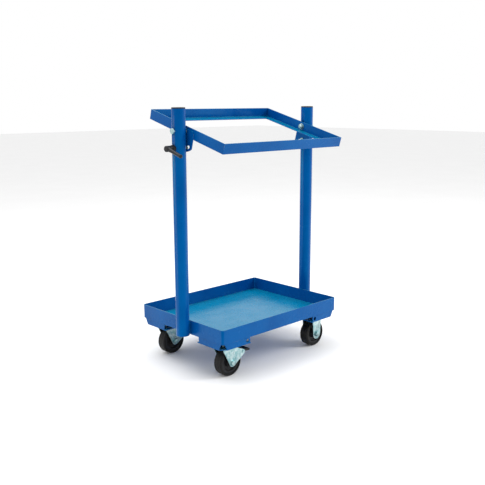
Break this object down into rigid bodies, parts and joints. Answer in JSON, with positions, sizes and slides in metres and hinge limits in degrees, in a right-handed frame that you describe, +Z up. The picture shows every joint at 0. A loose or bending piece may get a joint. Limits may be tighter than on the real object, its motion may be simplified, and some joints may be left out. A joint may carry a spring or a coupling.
{
  "type": "tray trolley",
  "caption": "Steel tray trolley on two swivel and two rigid casters, with two tube uprights that carry a tilting angle-steel frame held by a clamp lever.",
  "frame": {"origin": "on the floor, under the middle of the part's overall box", "axes": "+Z up, -Y the front, towards which the frame tilts down, +X to the right along the long side, away from the clamp lever"},
  "size_m": [0.7478, 0.4744, 0.95],
  "materials": {
    "blue_paint": "semi-gloss powder coat",
    "zinc_steel": "bright zinc plate",
    "black_plastic": "moulded, satin",
    "tyre_rubber": "matt black rubber"
  },
  "bodies": {
    "chassis": {"tray": "blue_paint", "corner_bracket_front_left": "blue_paint", "corner_bracket_front_right": "blue_paint", "corner_bracket_back_left": "blue_paint", "corner_bracket_back_right": "blue_paint", "upright_left": "blue_paint", "upright_right": "blue_paint", "upright_welds": "blue_paint", "upright_cap_left": "black_plastic", "upright_cap_right": "black_plastic", "clamp_saddle": "black_plastic", "pivot_bolts": "zinc_steel", "pivot_nuts": "zinc_steel", "pivot_washers": "zinc_steel", "clamp_stud": "zinc_steel", "guide_bolt": "zinc_steel", "guide_nut": "zinc_steel", "slot_washers": "zinc_steel", "swivel_plate_front_left": "zinc_steel", "swivel_plate_back_left": "zinc_steel", "kingpins": "zinc_steel", "swivel_balls": "zinc_steel", "rigid_fork_front_right": "zinc_steel", "rigid_fork_back_right": "zinc_steel", "rigid_axles": "zinc_steel", "rigid_axle_nuts": "zinc_steel", "caster_bolts": "zinc_steel", "caster_nuts": "zinc_steel"},
    "tilt_frame": {"frame_front_bar": "blue_paint", "frame_back_bar": "blue_paint", "frame_left_bar": "blue_paint", "frame_right_bar": "blue_paint", "quadrant_plate_left": "blue_paint", "quadrant_plate_right": "blue_paint"},
    "lever": {"clamp_lever": "black_plastic", "clamp_lever_bush": "zinc_steel"},
    "fork_front_left": {"swivel_fork_front_left": "zinc_steel", "axle_front_left": "zinc_steel", "axle_nut_front_left": "zinc_steel", "brake_pin_front_left": "zinc_steel"},
    "pedal_front_left": {"brake_pedal_front_left": "black_plastic"},
    "fork_back_left": {"swivel_fork_back_left": "zinc_steel", "axle_back_left": "zinc_steel", "axle_nut_back_left": "zinc_steel", "brake_pin_back_left": "zinc_steel"},
    "pedal_back_left": {"brake_pedal_back_left": "black_plastic"},
    "wheel_front_left": {"wheel_core_front_left": "black_plastic", "tyre_front_left": "tyre_rubber", "wheel_bush_front_left": "zinc_steel"},
    "wheel_front_right": {"wheel_core_front_right": "black_plastic", "tyre_front_right": "tyre_rubber", "wheel_bush_front_right": "zinc_steel"},
    "wheel_back_left": {"wheel_core_back_left": "black_plastic", "tyre_back_left": "tyre_rubber", "wheel_bush_back_left": "zinc_steel"},
    "wheel_back_right": {"wheel_core_back_right": "black_plastic", "tyre_back_right": "tyre_rubber", "wheel_bush_back_right": "zinc_steel"}
  },
  "joints": [
    {"name": "frame_tilt", "type": "hinge", "parent": "chassis", "child": "tilt_frame", "pos_m": [0.014, -0.037, 0.8705], "axis": [1, 0, 0], "range_deg": [-15.6, 20]},
    {"name": "clamp_lever_turn", "type": "hinge", "parent": "chassis", "child": "lever", "pos_m": [-0.356, -0.037, 0.8125], "axis": [1, 0, 0], "range_deg": [-180, 0]},
    {"name": "caster_swivel_front_left", "type": "hinge", "parent": "chassis", "child": "fork_front_left", "pos_m": [-0.225, -0.157, 0.112], "axis": [0, 0, 1], "continuous": true},
    {"name": "caster_swivel_back_left", "type": "hinge", "parent": "chassis", "child": "fork_back_left", "pos_m": [-0.225, 0.171, 0.112], "axis": [0, 0, 1], "continuous": true},
    {"name": "wheel_spin_front_left", "type": "hinge", "parent": "fork_front_left", "child": "wheel_front_left", "pos_m": [-0.209, -0.157, 0.051], "axis": [0, 1, 0], "continuous": true},
    {"name": "wheel_spin_front_right", "type": "hinge", "parent": "chassis", "child": "wheel_front_right", "pos_m": [0.253, -0.157, 0.051], "axis": [0, 1, 0], "continuous": true},
    {"name": "wheel_spin_back_left", "type": "hinge", "parent": "fork_back_left", "child": "wheel_back_left", "pos_m": [-0.209, 0.171, 0.051], "axis": [0, 1, 0], "continuous": true},
    {"name": "wheel_spin_back_right", "type": "hinge", "parent": "chassis", "child": "wheel_back_right", "pos_m": [0.253, 0.171, 0.051], "axis": [0, 1, 0], "continuous": true},
    {"name": "brake_press_front_left", "type": "hinge", "parent": "fork_front_left", "child": "pedal_front_left", "pos_m": [-0.157, -0.157, 0.081], "axis": [0, 1, 0], "range_deg": [0, 20]},
    {"name": "brake_press_back_left", "type": "hinge", "parent": "fork_back_left", "child": "pedal_back_left", "pos_m": [-0.157, 0.171, 0.081], "axis": [0, 1, 0], "range_deg": [0, 20]}
  ]
}
